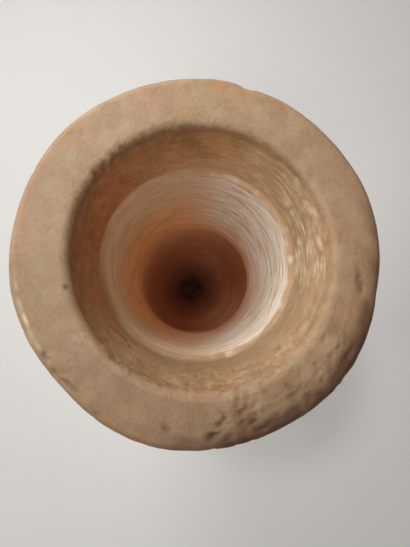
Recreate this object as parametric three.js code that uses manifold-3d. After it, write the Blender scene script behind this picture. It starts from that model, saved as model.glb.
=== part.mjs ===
// A tall alabaster jar, cut from one block: a broad everted rim, gently waisted sides and a flat
// foot, bored out in three stages with the ridges that the drill left.
// Millimetres, +Z up, with the origin at the centre of the underside.

import * as THREE from 'three';
import { mergeVertices } from 'three/addons/utils/BufferGeometryUtils.js';
import Module from 'manifold-3d';

// Heights and depths
const height = 175;
const baseThickness = 18;
const recessDepth = 28;
const chamberDepth = 63;
const waistHeight = 78;

// Bore, from the mouth down
const upperBoreRadius = 34.7;
const throatRadius = 27.6;
const floorRadius = 22;
const ledgeWidth = 1.5;
const recessFlare = 3.8;
const mouthRounding = 4;
const throatLip = 1;
const chamberSwell = 1.8;
const floorDish = 8;
const boreOffset = new THREE.Vector2(0.65, 1.4);

// How the upper bore narrows: the share that is even all the way down, and how closely the rest
// gathers at the throat
const evenNarrowing = 0.7;
const throatGathering = 5;

// Walls and the outside
const rimWidth = 19.6;
const neckWall = 12.5;
const waistWall = 15;
const footFlare = 7;
const footRounding = 2;
const lipThickness = 12;
const lipEdgeDrop = 6;
const lipUnderInset = 2;
const lipUndercut = 9;
const rimRounding = 3.4;

// Ridges left by the drill, which die out towards both ends of a stretch
const upperRidgePitch = 6;
const upperRidgeHeight = 0.4;
const chamberRidgePitch = 9;
const chamberRidgeHeight = 0.3;
const ridgeFade = 0.25;

// Hand work and wear: out-of-round lobes, flats and a swell of the rim, a softened side of the mouth
const rimLobes = [
  { count: 2, swell: 0.32, towards: 110 },
  { count: 3, swell: 0.13, towards: 28 },
  { count: 5, swell: 0.15, towards: 41 },
  { count: 6, swell: 0.27, towards: 18 },
];
const bodyLobes = [
  { count: 2, swell: 0.5, towards: 60 },
  { count: 3, swell: 0.3, towards: 100 },
];
const rimSpots = [
  { angle: 36, halfWidth: 9, rise: -0.25 },
  { angle: 82, halfWidth: 26, rise: 0.4 },
  { angle: 200, halfWidth: 5, rise: -0.3 },
  { angle: 221, halfWidth: 14, rise: -0.6 },
  { angle: 349, halfWidth: 7, rise: -0.3 },
];
const mouthWear = { angle: 290, halfWidth: 70, depth: 3, drop: 1.2, reach: 22 };

// Flakes lost from the rim's edge: where, how far below the top, how deep, how wide and how tall
const rimChips = [
  { angle: 74, below: 2.5, depth: 2.5, halfWidth: 4.5, halfHeight: 5 },
  { angle: 348, below: 2.3, depth: 2, halfWidth: 6.5, halfHeight: 4.5 },
  { angle: 224.5, below: 0.5, depth: 3.2, halfWidth: 5.5, halfHeight: 2.4 },
  { angle: 286, below: 0.5, depth: 2.4, halfWidth: 7, halfHeight: 2.2 },
  { angle: 324, below: 0.5, depth: 2.2, halfWidth: 8, halfHeight: 2 },
];
const flakeRoundness = 2.5;
const flakeTilt = 0.4;

const roundSegments = 60;

// Sizes that follow from the ones above
const floorZ = baseThickness;
const throatZ = floorZ + chamberDepth;
const recessZ = height - recessDepth;
const recessRadius = upperBoreRadius + ledgeWidth;
const mouthRadius = recessRadius + recessFlare;
const rimRadius = mouthRadius + rimWidth;
const neckRadius = recessRadius + neckWall;
const waistRadius = throatRadius + chamberSwell + waistWall;
const footRadius = waistRadius + footFlare;
const lipEdgeZ = height - lipEdgeDrop;
const lipUnderZ = height - lipThickness;

const at = (radius, z) => new THREE.Vector2(radius, z);
const bend = (start, pull, end) => new THREE.QuadraticBezierCurve(start, pull, end);

// Samples a curve, leaving out its first point, which the stretch before it has given.
const sample = (curve, steps) => curve.getPoints(steps).slice(1);

// Underside, rounded foot, waisted side, the lip's undercut and edge, and the flat top of the rim.
function outerProfile() {
  const footStart = at(footRadius - footRounding, 0);
  const footEnd = at(footRadius, footRounding);
  const waist = at(waistRadius, waistHeight);
  const lipUnder = at(rimRadius - lipUnderInset, lipUnderZ);
  const lipEdge = at(rimRadius, lipEdgeZ);
  const rimStart = at(rimRadius - rimRounding, height);
  const rimEnd = at(mouthRadius + mouthRounding, height);
  const flare = new THREE.CubicBezierCurve(
    waist,
    at(waistRadius, (waistHeight + lipUnderZ) / 2),
    at(neckRadius, lipUnderZ - lipUndercut),
    lipUnder,
  );
  return [
    at(0, 0),
    footStart,
    ...sample(bend(footStart, at(footRadius, 0), footEnd), 2),
    ...sample(bend(footEnd, at(waistRadius, waistHeight / 2), waist), 5),
    ...sample(flare, 9),
    ...sample(bend(lipUnder, at(rimRadius, lipUnderZ), lipEdge), 2),
    ...sample(bend(lipEdge, at(rimRadius, height), rimStart), 4),
    ...sample(new THREE.LineCurve(rimStart, rimEnd), 2),
  ];
}

// Alternating crests and troughs along a stretch of the bore, with none at either end.
function ridge(index, steps, ridgeHeight) {
  if (index === 0 || index === steps) return 0;
  const fade = Math.sin((Math.PI * index) / steps) ** ridgeFade;
  return (index % 2 ? 1 : -1) * ridgeHeight * fade;
}

// The reamed upper bore: it narrows slowly from the ledge and a little faster near the throat.
function upperBore() {
  const startZ = recessZ - ledgeWidth;
  const steps = 2 * Math.round((startZ - throatZ) / upperRidgePitch);
  return Array.from({ length: steps }, (_, k) => {
    const share = (k + 1) / steps;
    const gathered = (1 - evenNarrowing) * share ** throatGathering;
    const narrowed = evenNarrowing * share + gathered;
    const radius = THREE.MathUtils.lerp(upperBoreRadius, throatRadius, narrowed);
    return at(radius + ridge(k + 1, steps, upperRidgeHeight), THREE.MathUtils.lerp(startZ, throatZ, share));
  });
}

// The lower chamber: undercut below the throat, drawn in, and run smoothly into the dished floor.
function chamber() {
  const top = at(throatRadius, throatZ - throatLip);
  const belly = at(throatRadius + 2 * chamberSwell, throatZ - chamberDepth / 3);
  const hip = at(throatRadius + chamberSwell, floorZ + 2 * floorDish);
  const bottom = at(floorRadius, floorZ + floorDish);
  const floorPull = bottom.clone().multiplyScalar(2).sub(hip);
  const steps = 2 * Math.round(chamberDepth / chamberRidgePitch);
  const wall = new THREE.CubicBezierCurve(top, belly, hip, bottom).getPoints(steps);
  const ridged = wall.map((p, k) => at(p.x + ridge(k, steps, chamberRidgeHeight), p.y));
  return [...ridged, ...sample(bend(bottom, floorPull, at(0, floorZ)), 5)];
}

// From the mouth's rounded edge down the recess, over the ledge and on to the floor.
function boreProfile() {
  const mouthTop = at(mouthRadius + mouthRounding, height);
  const mouthWall = at(mouthRadius, height - mouthRounding);
  const ledge = at(recessRadius, recessZ);
  return [
    ...sample(bend(mouthTop, at(mouthRadius, height), mouthWall), 4),
    ...sample(new THREE.LineCurve(mouthWall, ledge), 4),
    at(upperBoreRadius, recessZ - ledgeWidth),
    ...upperBore(),
    ...chamber(),
  ];
}

// The sum of a few slow waves round the axis, in millimetres at an angle in degrees.
function lobesAt(lobes, degrees) {
  return lobes.reduce((sum, lobe) => {
    const turn = THREE.MathUtils.degToRad(lobe.count * (degrees - lobe.towards));
    return sum + lobe.swell * Math.cos(turn);
  }, 0);
}

// A soft bell centred on one angle: 1 at its centre, falling to nothing on either side.
function dip(spot, degrees) {
  const away = THREE.MathUtils.euclideanModulo(degrees - spot.angle + 180, 360) - 180;
  return Math.exp(-((away / spot.halfWidth) ** 2));
}

// Moves a point out from the axis, or in where the distance is negative. The axis itself stays.
function pushOut(position, distance) {
  const radius = Math.hypot(position.x, position.y);
  const grown = radius > 0 ? (radius + distance) / radius : 1;
  position.x *= grown;
  position.y *= grown;
}

const angleOf = (position) => THREE.MathUtils.radToDeg(Math.atan2(position.y, position.x));

// The bore is softened on the worn side of its mouth and stands a little off the body's axis.
function workBore(position) {
  const nearMouth = THREE.MathUtils.smoothstep(position.z, height - mouthWear.reach, height);
  const worn = nearMouth * dip(mouthWear, angleOf(position));
  pushOut(position, worn * mouthWear.depth);
  position.x += boreOffset.x;
  position.y += boreOffset.y;
  position.z -= worn * mouthWear.drop;
}

// The outside is out of round, by the body's waves below and by the rim's waves and spots above.
function workOutside(position) {
  const share = Math.hypot(position.x, position.y) / rimRadius;
  const degrees = angleOf(position);
  const onRim = THREE.MathUtils.smoothstep(position.z, waistHeight, lipUnderZ);
  const offUnderside = THREE.MathUtils.smoothstep(position.z, 0, footRounding);
  const spots = rimSpots.reduce((sum, spot) => sum + spot.rise * dip(spot, degrees), 0);
  const rim = lobesAt(rimLobes, degrees) + spots;
  const swell = THREE.MathUtils.lerp(lobesAt(bodyLobes, degrees), rim, onRim);
  pushOut(position, share * swell * offUnderside);
}

// One closed surface turned about the axis, then worked by hand point by point. The rim's last ring
// is the mouth's first, so it moves with the bore.
function turnedStone() {
  const outer = outerProfile();
  const profile = [...outer, ...boreProfile()];
  const geometry = new THREE.LatheGeometry(profile, roundSegments);
  geometry.rotateX(Math.PI / 2);
  const positions = geometry.getAttribute('position');
  const position = new THREE.Vector3();
  for (let i = 0; i < positions.count; i++) {
    position.fromBufferAttribute(positions, i);
    const isOutside = i % profile.length < outer.length - 1;
    const work = isOutside ? workOutside : workBore;
    work(position);
    positions.setXYZ(i, position.x, position.y, position.z);
  }
  return geometry;
}

// A flattened lump that takes one flake off the rim's edge. It stands off the stone so that it
// bites in by the flake's depth, and is as wide and tall as the flake where it meets the edge.
function flakeTool({ angle, below, depth, halfWidth, halfHeight }) {
  const standoff = (flakeRoundness - 1) * depth;
  const spread = 1 / Math.sqrt(1 - (1 - 1 / flakeRoundness) ** 2);
  const lump = new THREE.SphereGeometry(1, 12, 8);
  lump.scale(flakeRoundness * depth, halfWidth * spread, halfHeight * spread);
  lump.rotateX(flakeTilt);
  lump.translate(rimRadius + standoff, 0, height - below);
  lump.rotateZ(THREE.MathUtils.degToRad(angle));
  return lump;
}

const wasm = await Module();
wasm.setup();

// A closed three.js geometry as a solid that can be cut.
function solidFrom(geometry) {
  const bare = geometry.clone();
  bare.deleteAttribute('normal');
  bare.deleteAttribute('uv');
  const merged = mergeVertices(bare, 1e-4);
  const corners = Array.from(merged.index.array);
  const whole = [];
  for (let i = 0; i < corners.length; i += 3) {
    const [a, b, c] = corners.slice(i, i + 3);
    if (a !== b && b !== c && c !== a) whole.push(a, b, c);
  }
  return new wasm.Manifold(
    new wasm.Mesh({
      numProp: 3,
      vertProperties: new Float32Array(merged.attributes.position.array),
      triVerts: new Uint32Array(whole),
    }),
  );
}

// The cut solid as a three.js geometry again, with a normal for each flat face.
function geometryFrom(solid) {
  const mesh = solid.getMesh();
  const geometry = new THREE.BufferGeometry();
  geometry.setAttribute('position', new THREE.BufferAttribute(mesh.vertProperties, 3));
  geometry.setIndex(new THREE.BufferAttribute(mesh.triVerts, 1));
  const flat = geometry.toNonIndexed();
  flat.computeVertexNormals();
  return flat;
}

const stone = solidFrom(turnedStone());
const chipped = rimChips.reduce((left, chip) => left.subtract(solidFrom(flakeTool(chip))), stone);

const alabaster = new THREE.MeshStandardMaterial({ color: 0xb89a78, roughness: 0.55, metalness: 0 });
const vase = new THREE.Mesh(geometryFrom(chipped), alabaster);
vase.name = 'vase';

const jar = new THREE.Group();
jar.add(vase);

export default jar;
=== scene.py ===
import math

import bpy
import numpy as np
from mathutils import Matrix, Vector


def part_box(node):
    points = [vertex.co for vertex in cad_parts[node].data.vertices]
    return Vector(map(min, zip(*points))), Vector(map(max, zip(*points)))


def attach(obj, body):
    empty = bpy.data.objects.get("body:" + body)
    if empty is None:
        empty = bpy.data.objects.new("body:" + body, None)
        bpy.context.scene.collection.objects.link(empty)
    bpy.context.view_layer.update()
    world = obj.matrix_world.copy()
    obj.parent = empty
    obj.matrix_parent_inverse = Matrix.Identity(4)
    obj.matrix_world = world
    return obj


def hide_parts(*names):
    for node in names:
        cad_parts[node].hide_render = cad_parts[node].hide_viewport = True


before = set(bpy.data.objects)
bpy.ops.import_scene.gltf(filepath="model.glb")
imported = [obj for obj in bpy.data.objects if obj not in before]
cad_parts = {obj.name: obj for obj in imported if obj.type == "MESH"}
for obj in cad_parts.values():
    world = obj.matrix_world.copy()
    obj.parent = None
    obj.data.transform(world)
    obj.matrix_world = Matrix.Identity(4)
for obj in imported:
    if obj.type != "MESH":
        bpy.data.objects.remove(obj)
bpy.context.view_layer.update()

# The vase
# One block of alabaster. The outside is ground to a waisted jar with a broad everted rim, and the
# inside was drilled out from the mouth with sand, in three stages that left their rings. It is
# worn all over, with flakes lost from the rim's edge and lime and dirt left in the bore.

MM = 0.001
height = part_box("vase")[1].z / MM
floor_z = 18
throat_z = floor_z + 63
recess_z = height - 28
waist_z = 78

upper_bore_radius = 34.7
throat_radius = 27.6
floor_radius = 22
ledge_width = 1.5
recess_radius = upper_bore_radius + ledge_width
mouth_radius = recess_radius + 3.8
mouth_rounding = 4
throat_lip = 1
chamber_swell = 1.8
floor_dish = 8
bore_x = 0.65
bore_y = 1.4
even_share = 0.7
late_share = 0.3
bore_ridges = 22
bore_ridge_height = 0.08
chamber_ridges = 14
chamber_ridge_height = 0.15
scar_x = -1.65
scar_y = 1.4
scar_depth = 1.6

rim_radius = mouth_radius + 19.6
neck_radius = recess_radius + 12.5
waist_radius = throat_radius + chamber_swell + 15
foot_radius = waist_radius + 7
foot_rounding = 2
rim_rounding = 3.4
lip_edge_z = height - 6
lip_under_z = height - 12
lip_under_inset = 2
lip_undercut = 9
section_inset = 12
section_below = 10
mouth_wear = 3
rim_wear = 1.2

around = 376
edge_rings = 16
rim_top_rings = 40
reamed_rings = 64
chamber_rings = 28


def bezier(corners, steps):
    """A Bezier curve's points after its first: the corners, each weighted by its binomial share."""
    t = np.linspace(0, 1, steps + 1)[1:, None]
    last = len(corners) - 1
    shares = [math.comb(last, k) * (1 - t) ** (last - k) * t**k for k in range(last + 1)]
    return sum(share * np.array(corner, float) for share, corner in zip(shares, corners))


def smooth(low, high, value):
    """Smoothstep: 0 below low, 1 above high, and an even S between them."""
    t = np.clip((value - low) / (high - low), 0, 1)
    return t * t * (3 - 2 * t)


def outside_profile():
    """Radius and height up the outside: underside, foot, waisted side, lip and the rim's flat top."""
    foot_start = (foot_radius - foot_rounding, 0)
    foot_end = (foot_radius, foot_rounding)
    waist = (waist_radius, waist_z)
    lip_under = (rim_radius - lip_under_inset, lip_under_z)
    lip_edge = (rim_radius, lip_edge_z)
    rim_start = (rim_radius - rim_rounding, height)
    rim_end = (mouth_radius + mouth_rounding, height)
    below_waist = (waist_radius, waist_z / 2)
    above_waist = (waist_radius, (waist_z + lip_under_z) / 2)
    under_lip = (neck_radius, lip_under_z - lip_undercut)
    return np.vstack([
        bezier([(0, 0), foot_start], 6),
        bezier([foot_start, (foot_radius, 0), foot_end], 4),
        bezier([foot_end, below_waist, waist], 20),
        bezier([waist, above_waist, under_lip, lip_under], 24),
        bezier([lip_under, (rim_radius, lip_under_z), lip_edge], 6),
        bezier([lip_edge, (rim_radius, height), rim_start], edge_rings),
        bezier([rim_start, rim_end], rim_top_rings),
    ])


def ridged(way, turns, ridge_height):
    """The drill's ridges: two cosines of the way along the stretch that drift in and out of step, so
    that the rings come unevenly, fading out towards both ends of the stretch."""
    fade = np.sin(np.pi * np.clip(way, 0, 1)) ** 0.25
    uneven = np.cos(np.pi * turns * way) + np.cos(np.pi * turns * 1.37 * way + 1)
    return -ridge_height * fade * uneven / 2


def bore_profile():
    """Radius and height down the bore: rounded mouth, recess, ledge, reamed bore, chamber, floor.

    The reamed bore narrows evenly for seven tenths, and by the fifth power of the way down for the
    rest, so that it draws in at the throat.
    """
    mouth_top = (mouth_radius + mouth_rounding, height)
    mouth_wall = (mouth_radius, height - mouth_rounding)
    ledge = (recess_radius, recess_z)
    bore_top = (upper_bore_radius, recess_z - ledge_width)
    way = np.linspace(0, 1, reamed_rings + 1)[1:]
    narrowed = even_share * way + late_share * way**5
    reamed = np.column_stack([
        upper_bore_radius + (throat_radius - upper_bore_radius) * narrowed
        + ridged(way, bore_ridges, bore_ridge_height),
        bore_top[1] + (throat_z - bore_top[1]) * way,
    ])
    chamber_top = (throat_radius, throat_z - throat_lip)
    belly = (throat_radius + 2 * chamber_swell, throat_z - (throat_z - floor_z) / 3)
    hip = (throat_radius + chamber_swell, floor_z + 2 * floor_dish)
    bottom = (floor_radius, floor_z + floor_dish)
    floor_pull = (2 * bottom[0] - hip[0], 2 * bottom[1] - hip[1])
    chamber = bezier([chamber_top, belly, hip, bottom], chamber_rings)
    chamber_way = np.linspace(0, 1, chamber_rings + 1)[1:]
    chamber[:, 0] += ridged(chamber_way, chamber_ridges, chamber_ridge_height)
    return np.vstack([
        bezier([mouth_top, (mouth_radius, height), mouth_wall], 12),
        bezier([mouth_wall, ledge], 26),
        bezier([ledge, bore_top], 3),
        reamed,
        bezier([reamed[-1], chamber_top], 2),
        chamber,
        bezier([bottom, floor_pull, (0, floor_z)], 11),
    ])


def bell(degrees, centre, half_width):
    """A soft bell round the axis: 1 at its centre angle, falling as e to the minus square."""
    away = (degrees - centre + 180) % 360 - 180
    return np.exp(-((away / half_width) ** 2))


def waves(degrees, lobes):
    """The sum of slow cosine waves round the axis, each given as count, swell and direction."""
    return sum(
        swell * np.cos(np.radians(count * (degrees - towards)))
        for count, swell, towards in lobes
    )


def lattice(points, size, seed):
    """Smooth random heights from -1 to 1: random values on the corners of a lattice with cells of
    that size, blended across each cell by smoothstep shares of its eight corners."""
    cells = 48
    table = np.random.default_rng(seed).uniform(-1, 1, (cells, cells, cells))
    cell = np.floor(points / size)
    share = points / size - cell
    share = share * share * (3 - 2 * share)
    cell = cell.astype(int)
    total = np.zeros(points.shape[:-1])
    for corner in np.ndindex(2, 2, 2):
        weight = np.prod(np.where(corner, share, 1 - share), axis=-1)
        x, y, z = np.moveaxis((cell + corner) % cells, -1, 0)
        total += weight * table[x, y, z]
    return total


def push_out(points, distance):
    """Moves points away from the axis by a distance, or towards it where that is negative."""
    radius = np.hypot(points[..., 0], points[..., 1])
    grown = (radius + distance) / np.maximum(radius, 1e-6)
    points[..., :2] *= grown[..., None]


def facing(points):
    """Outward unit normals of the turned grid: the step round the axis crossed with the step along."""
    along = np.gradient(points, axis=0)
    onward = np.roll(points, -1, axis=1) - np.roll(points, 1, axis=1)
    normal = np.cross(onward, along)
    return normal / np.maximum(np.linalg.norm(normal, axis=-1, keepdims=True), 1e-9)


# Waves round the axis, each a count, a swell and the angle that it swells towards, and spots
# on the rim's edge, each an angle, a half width and a rise.
rim_lobes = [(2, 0.32, 110), (3, 0.13, 28), (5, 0.15, 41), (6, 0.27, 18)]
body_lobes = [(2, 0.5, 60), (3, 0.3, 100)]
rim_spots = [(36, 9, -0.25), (82, 26, 0.4), (200, 5, -0.3), (221, 14, -0.6), (349, 7, -0.3)]

profile_out = outside_profile()
profile_in = bore_profile()
profile = np.vstack([profile_out, profile_in])[:-1]
outside_rings = len(profile_out)
rim_start_ring = outside_rings - 1 - rim_top_rings
angles = np.linspace(0, 2 * np.pi, around, endpoint=False)
degrees = np.degrees(angles)[None, :]
turned = np.stack([
    profile[:, :1] * np.cos(angles),
    profile[:, :1] * np.sin(angles),
    np.repeat(profile[:, 1:], around, axis=1),
], axis=-1)
r_turned = profile[:, :1]
z_turned = profile[:, 1:]

# Across the rim's flat top the outside's shape gives way to the bore's, over its inner half.
ring = np.arange(len(profile))[:, None]
bore_share = np.clip(2 * (ring - rim_start_ring) / rim_top_rings - 1, 0, 1)

# The outside is out of round, by the body's waves below and by the rim's waves and spots above.
on_rim = smooth(waist_z, lip_under_z, z_turned)
off_underside = smooth(0, foot_rounding, z_turned)
rim_swell = waves(degrees, rim_lobes)
rim_swell = rim_swell + sum(rise * bell(degrees, angle, wide) for angle, wide, rise in rim_spots)
swell = (1 - on_rim) * waves(degrees, body_lobes) + on_rim * rim_swell
push_out(turned, r_turned / rim_radius * swell * off_underside * (1 - bore_share))

# The mouth is softened on one side, and the bore stands a little off the body's axis.
worn = smooth(height - 22, height, z_turned) * bell(degrees, 290, 70) * bore_share
push_out(turned, mouth_wear * worn)
turned[..., 2] -= rim_wear * worn
turned[..., 0] += bore_x * bore_share
turned[..., 1] += bore_y * bore_share

x, y, z = np.moveaxis(turned.copy(), -1, 0)
in_bore = (ring >= outside_rings) * np.ones_like(x)
in_recess = in_bore * smooth(recess_z - 1, recess_z + 1, z)
below_ledge = in_bore * (1 - smooth(recess_z - 0.5, recess_z + 1.5, z))
in_chamber = in_bore * (1 - smooth(throat_z - 2, throat_z + 1, z))


def stroke(start, end, half_width):
    """How near each point of the top is to a straight mark between two places: 1 on it, 0 past its
    half width, by the distance to the nearest place along the mark."""
    run = np.subtract(end, start)
    way = np.clip(((x - start[0]) * run[0] + (y - start[1]) * run[1]) / max(run @ run, 1e-6), 0, 1)
    away = np.hypot(x - start[0] - way * run[0], y - start[1] - way * run[1])
    return np.exp(-((away / half_width) ** 2)) * (z > recess_z)


# Ground by hand and weathered: broad unevenness, grain, and pits that gather in patches.
broad = 0.10 * (1 + lattice(turned, 15, 1)) + 0.07 * (1 + lattice(turned, 6, 2))
grain = 0.05 * (1 + lattice(turned, 2.3, 3)) + 0.04 * (1 + lattice(turned, 1.2, 4))
rough_side = 0.75 * bell(degrees, 285, 38) + 0.35 * bell(degrees, 105, 16)
rough_side += 0.3 * bell(degrees, 235, 14)
pitted = smooth(0.25, 0.95, lattice(turned, 13, 5) * 0.8 + rough_side * (1 - below_ledge))
pits = np.maximum(0, lattice(turned, 2.4, 6) - 0.25) * 0.9 * pitted
pits += np.maximum(0, lattice(turned, 1.5, 7) - 0.35) * 0.8 * pitted

# The mouth's edge is bristly at the top left and the lower left, with short marks across it. Each
# mark lies along the way out from the bore, so it is long that way and narrow round the edge. Along
# the bottom the edge is worn into clumps.
bore_angle = np.arctan2(y - bore_y, x - bore_x)
bore_away = np.hypot(x - bore_x, y - bore_y)
across = np.stack([
    mouth_radius * np.cos(bore_angle) + bore_away / 3,
    mouth_radius * np.sin(bore_angle) + 1.5 * lattice(turned, 4, 18),
    z / 4,
], axis=-1)
bristly = bell(degrees, 132, 26) + 0.9 * bell(degrees, 235, 15)
edge_reach = smooth(height - 9, height - 2, z)
edge_reach *= smooth(mouth_radius + 3.2, mouth_radius + 1, bore_away)
teeth = np.maximum(0, lattice(across, 1.9, 8) + 0.9 * lattice(across, 1.1, 9))
bristles = 0.75 * edge_reach * bristly * teeth
clumps = np.maximum(0, lattice(turned, 2.6, 19) + 0.7 * lattice(turned, 1.4, 20))
low_edge = smooth(height - 21, height - 12, z)
low_edge *= smooth(mouth_radius + 6, mouth_radius + 1, bore_away)
low_side = np.minimum(bell(degrees, 262, 34) + 0.5 * bell(degrees, 310, 25), 1)
bristles += 0.9 * low_edge * low_side * clumps

# Rings in the bore come and go, and the recess's wall is scraped unevenly.
banded = np.stack([x / 12, y / 12, z / 1.6], axis=-1)
long_rings = np.stack([x / 40, y / 40, z / 3.4], axis=-1)
ring_marks = 0.11 * (1 + lattice(banded, 1, 10)) + 0.09 * (1 + lattice(long_rings, 1, 17))
ring_marks *= below_ledge
scraped = np.stack([x / 7, y / 7, z / 11], axis=-1)
slanted = np.stack([(x + 0.6 * z) / 2.2, (y - 0.5 * z) / 2.2, z / 7], axis=-1)
scrapes = 0.2 * (1 + lattice(scraped, 1, 11)) + 0.05 * (1 + lattice(banded, 1, 12))
scrapes += 0.12 * (1 + lattice(slanted, 1, 26))
scrapes *= in_recess * smooth(height - 0.3, height - 6, z)

# Gashes, single pits and a crack on the rim's top, each a start, an end, a half width and a depth.
marks = [
    ((7.8, -49.5), (4.1, -54.8), 1.2, 1.3),
    ((13.6, -47.8), (15.4, -51.5), 2.6, 1.0),
    ((-10.5, -51.0), (-9.0, -52.6), 0.9, 0.4),
    ((27.0, -40.0), (28.6, -42.5), 0.9, 0.5),
    ((37.0, -33.5), (37.8, -39.0), 0.6, 0.5),
    ((50.6, -4.6), (51.3, -11.9), 1.3, 0.5),
    ((46.6, -27.5), (46.2, -31.5), 1.5, 0.5),
    ((-46.0, -30.6), (-45.4, -31.4), 1.0, 0.8),
    ((-42.9, -35.4), (-36.6, -41.0), 0.9, 0.7),
    ((-40.5, -10.2), (-40.4, -10.9), 0.6, 0.6),
    ((-34.4, 20.2), (-34.3, 19.4), 0.6, 0.6),
    ((-30.2, -47.2), (-30.0, -47.6), 0.8, 0.5),
    ((-3.4, -50.5), (-2.2, -53.2), 0.8, 0.45),
    ((20.5, -46.5), (23.4, -48.6), 1.6, 0.45),
]
gashes = sum(depth * stroke(start, end, half_width) for start, end, half_width, depth in marks)
gashes = gashes * (1 - in_bore) * smooth(-0.5, 0.5, lattice(turned, 1.6, 13))

# At the left the rim's edge is ground to a side band, with a crisp arris where it meets the top.
side_band = bell(degrees, 203, 15)
edge_way = np.clip((ring - (rim_start_ring - edge_rings)) / edge_rings, 0, 1)
edge_way = edge_way * (ring <= rim_start_ring)
chamfer = 0.1 * side_band * np.sin(np.pi * edge_way)
notch_side = 0.45 * bell(degrees, 71, 6) * on_rim * (1 - bore_share)

# A scar and its crust at the middle of the bore's floor.
scar_away = np.hypot(x - scar_x, (y - scar_y) * 1.05) * (1 + 0.22 * lattice(turned, 6, 14))
scar = in_chamber * smooth(11, 6.5, scar_away) * (z < floor_z + floor_dish)

relief = (broad * off_underside + grain + pits + bristles + ring_marks
          + scrapes + gashes + chamfer + notch_side)
relief = relief * smooth(0, 6, r_turned)
relief += scar_depth * scar * (1 + 0.5 * lattice(turned, 3, 15))
turned -= facing(turned) * relief[..., None]


def strike(points, angle, below, depth, half_width, half_height, roundness=2.5, tilt=0.4):
    """Takes a flake off the rim's edge and returns how far each point moved.

    The cutter is an ellipsoid that bites in by the flake's depth. A point inside it moves straight
    towards the middle of the rim's section until it is on the ellipsoid.
    """
    turn = math.radians(angle)
    spread = 1 / math.sqrt(1 - (1 - 1 / roundness) ** 2)
    size = np.array([roundness * depth, half_width * spread, half_height * spread])
    centre = np.array([rim_radius + (roundness - 1) * depth, 0, height - below])
    unturn = np.array([
        [math.cos(turn), -math.sin(turn), 0],
        [math.sin(turn), math.cos(turn), 0],
        [0, 0, 1],
    ])
    untilt = np.array([
        [1, 0, 0],
        [0, math.cos(tilt), -math.sin(tilt)],
        [0, math.sin(tilt), math.cos(tilt)],
    ])
    local = points @ unturn
    core = np.stack([
        np.full(local.shape[:-1], rim_radius - section_inset),
        local[..., 1] * 0.6,
        np.full(local.shape[:-1], height - section_below),
    ], axis=-1)
    p = (local - centre) @ untilt / size
    towards = core - local
    towards /= np.linalg.norm(towards, axis=-1, keepdims=True)
    q = towards @ untilt / size
    a = (q * q).sum(-1)
    b = (p * q).sum(-1)
    c = (p * p).sum(-1) - 1
    near = (c < 0) & (local[..., 0] > rim_radius / 2)
    moved = np.where(near, (-b + np.sqrt(np.maximum(b * b - a * c, 0))) / a, 0)
    local = local + towards * moved[..., None]
    points[...] = local @ unturn.T
    return moved


# Flakes lost from the rim's edge, each an angle, its middle's way below the top, a depth, and half
# its width and height.
flakes = [
    (74, 2.5, 2.5, 4.5, 5),
    (348, 2.3, 2.0, 6.5, 4.5),
    (224.5, 0.5, 3.2, 5.5, 2.4),
    (286, 0.5, 2.4, 7, 2.2),
    (324, 0.5, 2.2, 8, 2),
]
struck = sum(strike(turned, *flake) for flake in flakes)
fresh = smooth(0.05, 0.6, struck)
turned -= facing(turned) * (0.22 * fresh * (1 + lattice(turned, 2.1, 16)))[..., None]

# The stone as one closed mesh: a grid of rings with a fan at the underside and one at the floor.
rings = len(profile)
index = np.arange(rings * around).reshape(rings, around)
onward = np.roll(index, -1, axis=1)
quads = np.stack([index[:-1], onward[:-1], onward[1:], index[1:]], axis=-1).reshape(-1, 4)
under_pole = rings * around
floor_pole = under_pole + 1
under_fan = np.column_stack([np.full(around, under_pole), onward[0], index[0]])
floor_fan = np.column_stack([index[-1], onward[-1], np.full(around, floor_pole)])
poles = np.array([(0, 0, 0), (*turned[-1, :, :2].mean(axis=0), turned[-1, :, 2].mean())])
vertices = np.vstack([turned.reshape(-1, 3), poles]) * MM

stone = bpy.data.meshes.new("vase_stone")
stone.from_pydata(vertices, [], [*quads.tolist(), *under_fan.tolist(), *floor_fan.tolist()])
stone.polygons.foreach_set("use_smooth", np.ones(len(stone.polygons), bool))
vase = bpy.data.objects.new("vase_body", stone)
bpy.context.scene.collection.objects.link(vase)


def paint(name, amount):
    """Stores an amount from 0 to 1 on every point of the grid; each pole takes its ring's mean."""
    amount = np.clip(amount * np.ones_like(x), 0, 1)
    values = np.concatenate([amount.reshape(-1), [amount[0].mean(), amount[-1].mean()]])
    stone.attributes.new(name, "FLOAT", "POINT").data.foreach_set("value", values.astype(np.float32))


def soft_spots(spots):
    """The sum of soft round stains on the rim, each given as its place, radius and strength."""
    away = [(np.hypot(x - sx, y - sy) / radius, strength) for sx, sy, radius, strength in spots]
    return sum(strength * np.exp(-(d**2)) for d, strength in away) * (z > recess_z)


# Lime bloom lines the reamed bore, thick and pale on the right and thin dust elsewhere; at the top
# right it is painted thicker as painted light, where the lamps leave the wall darker.
depth_below_ledge = np.clip((recess_z - z) / (recess_z - throat_z), 0, 1)
streaks = 0.5 + 0.5 * lattice(np.stack([x / 20, y / 20, z / 2.4], axis=-1), 1, 21)
clouds = 0.5 + 0.5 * lattice(turned, 8, 22)
bloom_and_light_side = np.minimum(bell(degrees, 330, 62) + 1.1 * bell(degrees, 46, 33), 1)
thick = bloom_and_light_side * (1 - 0.45 * smooth(0.55, 1.0, depth_below_ledge))
dust = 0.2 * (1 - smooth(0.1, 0.6, depth_below_ledge))
bloom = (thick + dust * (1 - bloom_and_light_side)) * (0.7 + 0.5 * streaks + 0.35 * clouds)
throat_fade = smooth(throat_z - 4, throat_z + 16, z)
ragged = smooth(recess_z, recess_z - 4, z + 2.5 * lattice(turned, 3, 28))
paint("bloom", bloom * ragged * below_ledge * (0.35 + 0.65 * throat_fade) * (1 - in_chamber))
on_band = np.exp(-(((z - recess_z + 6) / 5) ** 2)) * below_ledge
paint("band", 1.1 * on_band * (0.5 + 0.6 * streaks))
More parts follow.
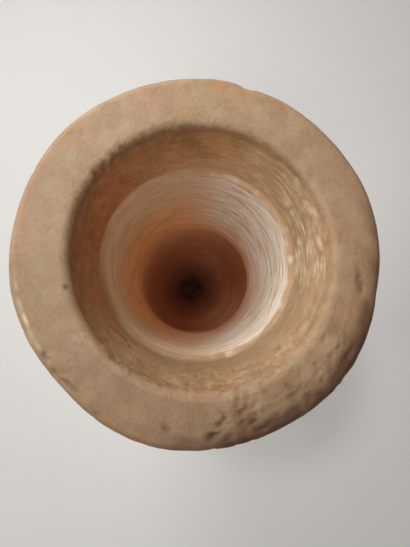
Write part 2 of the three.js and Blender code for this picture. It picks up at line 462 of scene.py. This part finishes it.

# Down the bore the stone shows paler, from a little lower at the right and the bottom, where the
# ledge is tan: partly the stone's own tone and partly painted light passed through the walls.
# Deeper it is painted warmer, the chamber orange red down to the scar and brighter at its upper
# left: painted glow of light passed through the stone. The floor round the scar is darker.
tan_side = np.minimum(bell(degrees, 325, 58) + bell(degrees, 252, 48), 1)
pale_top = recess_z + 1.5 - 3.8 * tan_side
paint("below", in_bore * smooth(pale_top, pale_top - 2, z))
paint("warm_glow", below_ledge * smooth(0.2, 0.85, depth_below_ledge) * (1 - 0.75 * bloom_and_light_side))
paint("chamber", in_bore * smooth(throat_z + 9, throat_z - 5, z))
painted_glow_side = np.minimum(1.1 * bell(degrees, 145, 72), 1)
paint("painted_glow", in_chamber * smooth(floor_z + 4, throat_z - 14, z) * painted_glow_side)
centre_away = np.hypot(x - scar_x, y - scar_y)
paint("darker_floor", in_chamber * smooth(27, 9, centre_away) * (z < floor_z + 2 * floor_dish))
paint("crust", scar)
on_ledge = np.exp(-(((z - recess_z + 0.8) / 1.6) ** 2)) * in_bore
paint("ledge", on_ledge * (0.25 + 0.75 * tan_side) * (0.8 + 0.6 * lattice(turned, 5, 27)))

# The recess's shaded top is painted lighter and warmer, as painted light. Its left and top are
# painted umber: partly the stone's stain and partly painted shade, orange as light bounced and
# passed through the stone. Its right is scraped pale.
recess_fade = smooth(height - 0.5, height - 7, z) * in_recess
recess_side = np.minimum(bell(degrees, 85, 38) + 0.7 * bell(degrees, 150, 45), 1)
paint("recess", recess_fade * (0.12 + 0.88 * recess_side))
umber_shade_side = 0.1 + 0.9 * np.minimum(1.1 * bell(degrees, 160, 50) + 0.15 * bell(degrees, 95, 28), 1)
paint("umber_shade", recess_fade * umber_shade_side * (0.75 + 0.35 * clouds))
scrape_side = bell(degrees, 2, 17) + 1.3 * bell(degrees, 42, 24) + 0.3 * bell(degrees, 320, 20)
paint("scrape", recess_fade * scrape_side)
sallow_side = np.minimum(bell(degrees, 335, 55) + bell(degrees, 255, 35), 1)
paint("sallow", smooth(height - 5, height - 20, z) * in_recess * sallow_side)
dusting_fade = smooth(recess_z + 15, recess_z + 2, z)
paint("dusting", in_recess * dusting_fade * bell(degrees, 80, 34))
rust_spots = smooth(0.05, 0.55, lattice(turned, 7, 25))
paint("rust", recess_fade * (0.3 + 0.7 * bell(degrees, 75, 50)) * rust_spots)

# Brown stain along the mouth's edge inside it at the left, and painted shade on its rounded edge
# outside it at the top left, where it turns from the light; pale and brown worn patches along its
# bottom.
stain_side = np.minimum(bell(degrees, 190, 45) + 0.6 * bell(degrees, 100, 30), 1)
stain_reach = smooth(height, height - 3, z) * smooth(height - 17, height - 7, z)
paint("edge_stain", in_bore * stain_reach * stain_side)
mouth_shade_reach = smooth(mouth_radius + 6, mouth_radius + 0.5, bore_away)
mouth_shade_reach *= smooth(height - 8, height - 3, z)
paint("mouth_shade", mouth_shade_reach * (0.85 * bell(degrees, 136, 34) + 0.25 * bell(degrees, 90, 24)))
paint("worn_edge", low_edge * low_side)

# Dirt in pits, gashes and flakes, and the pale scratched arris at the left: partly worn pale and
# partly a painted highlight where the edge faces the light.
paint("dirt", gashes + 0.5 * pits + 0.2 * bristles + 0.4 * fresh * bell(degrees, 300, 60))
arris_wear_and_highlight = np.exp(-(((ring - rim_start_ring) / 1.6) ** 2)) * bell(degrees, 201, 12)
paint("arris", 0.75 * arris_wear_and_highlight * (0.6 + 0.8 * lattice(turned, 2.5, 30)))

# Painted shade darkens the rim's edge on its right and most at the lower right, where the edge
# turns from the light, and the whole rim is painted darker towards the lower right as shade.
edge_way_out = np.hypot(x, y) + lattice(turned, 5, 29)
edge_near = smooth(rim_radius - 7.5, rim_radius - 3.5, edge_way_out) * (1 - in_bore)
edge_shade_side = 1.3 * bell(degrees, 312, 30) + 0.6 * bell(degrees, 275, 22)
edge_shade_side += 0.6 * bell(degrees, 358, 26)
paint("edge_shade", edge_shade_side * edge_near * (0.85 + 0.4 * lattice(turned, 4, 23)))
rim_shade_side = smooth(0, -50, y - 0.45 * x) * (1 - in_bore)
paint("rim_shade", rim_shade_side * (0.7 + 0.5 * lattice(turned, 7, 24)) * on_rim)

# Stains and tints on the rim: ochre, olive, pink, chalky white, brown, and dark red specks.
paint("ochre", soft_spots([
    (6.6, 55.2, 3.5, 0.9), (14, 53, 3, 0.8), (25.2, 49.4, 2.2, 0.7), (-3.2, 47.8, 3.4, 0.8),
    (-37.6, 41.8, 3, 0.8), (-41, 37, 2.6, 0.7), (41.9, 5.3, 3, 0.6), (-14, 52, 2.5, 0.5),
    (34, 6, 4, 0.6), (30, -24, 4, 0.4), (-3.2, -36.1, 2, 0.8), (-16.4, -55.2, 4, 0.7),
    (-30, -49, 2.5, 0.8), (-26, -50.5, 1.8, 0.7), (53, 8, 6, 0.4), (50, -16, 6, 0.5),
]))
paint("olive", soft_spots([
    (-37.7, 26.7, 4, 0.6), (-42.5, -35, 3, 0.9), (-37, -41.5, 3, 0.9), (-30.6, -47, 3.4, 0.8),
    (-57, -4, 4, 0.6), (-56, -14, 4, 0.6), (20, 38, 4, 0.6), (29, 32, 4, 0.6), (-8, 43.5, 4, 0.5),
]))
paint("pink", soft_spots([
    (-16.4, 49.5, 6, 0.9), (-9, 50, 4, 0.6), (-39, -28, 7, 0.5), (-24, -43, 9, 0.4),
    (46, 28, 6, 0.5), (44, -16, 7, 0.4), (-47, 14, 6, 0.4), (10, -42, 8, 0.4),
]))
paint("chalk", soft_spots([
    (-35.5, -26, 3, 0.5), (-22.1, -30.6, 3.2, 0.6), (27, -28, 4, 0.5), (36.7, -15.9, 3.5, 0.4),
    (24, 30, 3, 0.5), (30, 25, 3, 0.4), (2, 42, 3, 0.4), (-30, 29, 3, 0.3), (12.4, -35.4, 3, 0.4),
]))
paint("stain", soft_spots([
    (14.6, -49.1, 4, 0.9), (27.8, -40.5, 1.4, 0.8), (17.5, -54.6, 3, 0.6), (30.4, -45.9, 4, 0.6),
    (45.4, -32.7, 4, 0.5), (36, -8.4, 2.2, 0.7), (-37.8, -33.8, 4, 0.45), (-28, -26, 4, 0.5),
    (6, -52.5, 3, 0.6), (-22, -36, 4, 0.35), (24, -49, 3, 0.5), (-46, -31, 1.6, 0.7),
]))
paint("speck", soft_spots([
    (-40.5, -10.2, 0.9, 1), (-34.4, 20.2, 0.9, 1), (-3.2, -36.1, 0.9, 0.8), (57.6, -10, 1.5, 0.9),
    (50.9, -8, 1.2, 0.5), (-10, -52, 1, 0.7),
]))
paint("bore", in_bore * smooth(height - 1, height - 6, z))


def linear(red, green, blue):
    """A screen colour, each channel from 0 to 255, as the linear light that it stands for."""
    share = np.array([red, green, blue]) / 255
    return (*np.where(share <= 0.04045, share / 12.92, ((share + 0.055) / 1.055) ** 2.4), 1)


alabaster = bpy.data.materials.new("alabaster")
alabaster.use_nodes = True
tree = alabaster.node_tree
shader = tree.nodes["Principled BSDF"]


def node(kind, sockets, **settings):
    """A node of the stone's material: its settings, and each socket's value or the output it reads."""
    made = tree.nodes.new("ShaderNode" + kind)
    for name, value in settings.items():
        setattr(made, name, value)
    for name, value in sockets.items():
        if isinstance(value, bpy.types.NodeSocket):
            tree.links.new(value, made.inputs[name])
        else:
            made.inputs[name].default_value = value
    return made


def times(product, *amounts):
    """All the amounts multiplied together."""
    for amount in amounts:
        product = node("Math", {0: product, 1: amount}, operation="MULTIPLY").outputs["Value"]
    return product


def painted(name):
    """An amount painted on the mesh."""
    return node("Attribute", {}, attribute_name=name).outputs["Fac"]


def tint(under, colour, amount, how="MIX"):
    """Lays a colour over the one below it, by an amount."""
    mix = node("Mix", {0: amount, 6: under, 7: colour}, data_type="RGBA", blend_type=how)
    return mix.outputs[2]


place = node("TexCoord", {}).outputs["Object"]


def drawn_out(length, tilt_x, tilt_y):
    """Places so much longer on the level, and tilted a little, where patches become level lines."""
    stretch = {"Vector": place, "Rotation": (tilt_x, tilt_y, 0), "Scale": (length, length, 1)}
    return node("Mapping", stretch, vector_type="TEXTURE").outputs["Vector"]


def patches(size, seed, low, high, where=place, detail=3):
    """Patches about so many millimetres across: noise, stretched so that low to high fills 0 to 1."""
    sockets = {"Vector": where, "W": seed, "Scale": 1 / (size * MM), "Detail": detail}
    noise = node("TexNoise", sockets, noise_dimensions="4D").outputs["Fac"]
    spread = node("MapRange", {"Value": noise, "From Min": low, "From Max": high})
    return spread.outputs["Result"]


lines = drawn_out(7, 0.05, -0.03)
crossing = drawn_out(5, -0.12, 0.1)
fine_lines = patches(1.4, 3.1, 0.35, 0.65, where=lines)
crossing_lines = patches(1.7, 9.4, 0.38, 0.62, where=crossing)
in_the_bore = painted("bore")
broken_up = patches(3.2, 7.7, 0.3, 0.62)

# The stone itself: tan with greyer, pinkish and olive patches, large crystals and a sugary grain.
colour = tint(linear(156, 128, 98), linear(143, 114, 83), patches(7, 0.3, 0.44, 0.56, detail=2))
colour = tint(colour, linear(152, 110, 84), times(patches(9, 1.4, 0.48, 0.58), 0.45))
colour = tint(colour, linear(134, 114, 72), times(patches(10, 2.6, 0.5, 0.6), 0.25))
crystals = node("TexVoronoi", {"Vector": place, "Scale": 1 / (4.2 * MM)}).outputs["Color"]
crystal_shade = node("MapRange", {"Value": crystals, "To Min": 0.93, "To Max": 1.05})
colour = tint(colour, crystal_shade.outputs["Result"], 1.0, "MULTIPLY")
sugar = patches(1.1, 4.2, 0.25, 0.75, detail=5)
colour = tint(colour, linear(190, 164, 130), times(sugar, 0.36))

# Coats over the stone, from the first to the last, each a screen colour and how much of it lies
# where: on the rim, in the recess, down the bore, in the chamber, then painted shade and dirt over
# all.
rim_coats = [
    ((172, 118, 68), times(painted("ochre"), broken_up, 0.8)),
    ((128, 110, 68), times(painted("olive"), broken_up, 0.8)),
    ((166, 122, 98), times(painted("pink"), patches(1.8, 5.5, 0.35, 0.6), 0.7)),
    ((100, 70, 44), times(painted("stain"), patches(1.9, 2.2, 0.35, 0.6, detail=5), 0.85)),
    ((98, 52, 34), painted("speck")),
    ((196, 180, 154), times(painted("chalk"), patches(1.6, 6.1, 0.35, 0.65))),
    ((188, 156, 124), times(painted("worn_edge"), patches(2.2, 7.1, 0.52, 0.6, detail=5))),
    ((120, 92, 62), times(painted("worn_edge"), patches(1.7, 4.9, 0.55, 0.66, detail=5))),
    # A pale line on the left arris: partly worn, partly a painted highlight where it faces the light.
    ((214, 198, 170), painted("arris")),
]
recess_coats = [
    # Painted light: the recess's shaded top made lighter and warmer.
    ((224, 176, 124), times(painted("recess"), 0.85)),
    ((140, 121, 92), times(painted("sallow"), 0.7)),
    # Umber: partly the stone's stain, partly painted shade with the orange of bounced light.
    ((184, 110, 57), times(painted("umber_shade"), 0.88)),
    ((150, 88, 46), times(painted("umber_shade"), patches(3.4, 8.3, 0.45, 0.65, detail=5), 0.7)),
    ((216, 168, 112), times(painted("umber_shade"), patches(2.1, 9.9, 0.52, 0.7, detail=5), 0.5)),
    ((150, 112, 58), times(painted("rust"), broken_up, 0.7)),
    ((136, 102, 56), times(painted("edge_stain"), broken_up, 0.85)),
    ((222, 202, 168), times(painted("scrape"), fine_lines, broken_up)),
    ((214, 176, 150), times(painted("dusting"), patches(1.3, 3.9, 0.4, 0.62, lines, detail=5))),
]
dusty = times(patches(1.5, 6.4, 0.3, 0.54, lines), patches(1.2, 2.8, 0.1, 0.42))
bore_coats = [
    # Paler bore below the ledge: partly the stone's own tone, partly painted light through the walls.
    ((226, 190, 148), times(painted("below"), 0.9)),
    # Painted glow: warmer orange deeper down, for light that passes through the walls.
    ((252, 188, 130), times(painted("warm_glow"), 0.9)),
    ((176, 128, 88), times(painted("below"), crossing_lines, 0.5)),
    ((226, 176, 146), times(painted("band"), patches(1.1, 5.9, 0.35, 0.6, lines))),
    ((246, 242, 230), times(painted("bloom"), dusty)),
    ((172, 138, 102), times(painted("ledge"), 0.85)),
]
chamber_coats = [
    # Painted glow: the chamber lighter and orange, for light that passes through its walls.
    ((228, 166, 124), painted("chamber")),
    ((176, 114, 82), times(painted("chamber"), patches(2.4, 8.8, 0.15, 0.95, lines))),
    # Painted glow: brighter still at the chamber's upper left.
    ((255, 206, 160), times(painted("painted_glow"), 0.95)),
    # Darker over the floor round the scar.
    ((112, 66, 46), times(painted("darker_floor"), 0.85)),
    ((60, 38, 26), times(painted("crust"), patches(4, 3.3, 0.25, 0.5))),
]
dirt_coats = [
    # Painted shade on the mouth's rounded edge at the top left.
    ((126, 84, 50), times(painted("mouth_shade"), patches(1.3, 1.9, 0.42, 0.58, detail=5), 0.8)),
    # Painted shade: the rim darker towards the lower right.
    ((112, 76, 42), times(painted("rim_shade"), 0.45)),
    # Painted shade on the rim's edge at the lower right, where it turns from the light.
    ((78, 45, 21), times(painted("edge_shade"), 0.9)),
    ((96, 62, 34), times(painted("dirt"), 0.85)),
]
for shade, amount in rim_coats + recess_coats + bore_coats + chamber_coats + dirt_coats:
    colour = tint(colour, linear(*shade), amount)
tree.links.new(colour, shader.inputs["Base Color"])

roughness = node("MapRange", {"Value": sugar, "To Min": 0.52, "To Max": 0.74})
tree.links.new(roughness.outputs["Result"], shader.inputs["Roughness"])
shader.inputs["Subsurface Weight"].default_value = 0.4
shader.inputs["Subsurface Radius"].default_value = (1, 0.42, 0.18)
shader.inputs["Subsurface Scale"].default_value = 6 * MM

grain_bump = node("Bump", {"Height": sugar, "Strength": 0.5, "Distance": 0.25 * MM})
line_bump = node("Bump", {"Height": times(fine_lines, in_the_bore), "Strength": 0.5,
                          "Distance": 0.3 * MM, "Normal": grain_bump.outputs["Normal"]})
tree.links.new(line_bump.outputs["Normal"], shader.inputs["Normal"])
stone.materials.append(alabaster)

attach(vase, "root")
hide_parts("vase")

# The sheet of paper that the vase stands on, and the soft daylight
# A plain white sheet. A broad window lights it from the left of the picture, with a nearer patch of
# sky at the top left, a weak fill from the bottom and a soft spot on the rim's top left.

paper_size = 4
bpy.ops.mesh.primitive_plane_add(size=paper_size)
paper = bpy.context.object
paper.name = "paper"
white = bpy.data.materials.new("paper_white")
white.use_nodes = True
white_shader = white.node_tree.nodes["Principled BSDF"]
white_shader.inputs["Base Color"].default_value = linear(232, 230, 227)
white_shader.inputs["Roughness"].default_value = 0.9
paper.data.materials.append(white)

world = bpy.data.worlds.new("room")
bpy.context.scene.world = world
world.use_nodes = True
room_light = world.node_tree.nodes["Background"]
room_light.inputs["Color"].default_value = (1, 0.95, 0.95, 1)
room_light.inputs["Strength"].default_value = 0.23
daylight = (0.98, 0.99, 0.97)
over_mouth = (0, 0, height)
rim_top_left = (-20, 36, height)


def hang(name, kind, bearing, rise, distance, energy, aim, **settings):
    """Hangs a lamp in the direction given by a bearing and a rise, so far from the place it faces."""
    bearing, rise = math.radians(bearing), math.radians(rise)
    way = Vector((
        math.cos(bearing) * math.cos(rise),
        math.sin(bearing) * math.cos(rise),
        math.sin(rise),
    ))
    light = bpy.data.lights.new(name, kind)
    light.energy = energy
    light.color = daylight
    for key, value in settings.items():
        setattr(light, key, value)
    lamp = bpy.data.objects.new(name, light)
    lamp.location = Vector(aim) * MM + way * distance
    lamp.rotation_euler = way.to_track_quat("Z", "Y").to_euler()
    bpy.context.scene.collection.objects.link(lamp)


hang("window", "AREA", bearing=171, rise=38, distance=1.1, energy=5.1, aim=over_mouth, size=0.7)
hang("sky_panel", "AREA", bearing=120, rise=32, distance=0.32, energy=0.7, aim=over_mouth, size=0.15)
hang("low_fill", "AREA", bearing=246, rise=62, distance=0.9, energy=1.6, aim=over_mouth, size=0.3)
hang("soft_spot", "SPOT", bearing=138, rise=65, distance=0.6, energy=8.6, aim=rim_top_left,
     spot_size=0.34, spot_blend=1, shadow_soft_size=0.1)

# Colours come out as they are lit, with no film curve over them.
bpy.context.scene.view_settings.view_transform = "Standard"

# The camera
# Held over the mouth and a little below the middle of the picture, with a phone's lens.

camera_place = Vector((-3.39, -20.6, 301)) * MM
camera_aim = Vector((2.01, -6.05, height)) * MM
lens_length = 27.05
back = (camera_place - camera_aim).normalized()
right = Vector((0, 1, 0)).cross(back).normalized()
up = back.cross(right)
camera_data = bpy.data.cameras.new("camera")
camera_data.lens = lens_length
camera_data.clip_start = 0.005
camera = bpy.data.objects.new("camera", camera_data)
turned_to_aim = Matrix((right, up, back)).transposed().to_4x4()
camera.matrix_world = Matrix.Translation(camera_place) @ turned_to_aim
bpy.context.scene.collection.objects.link(camera)
bpy.context.scene.camera = camera
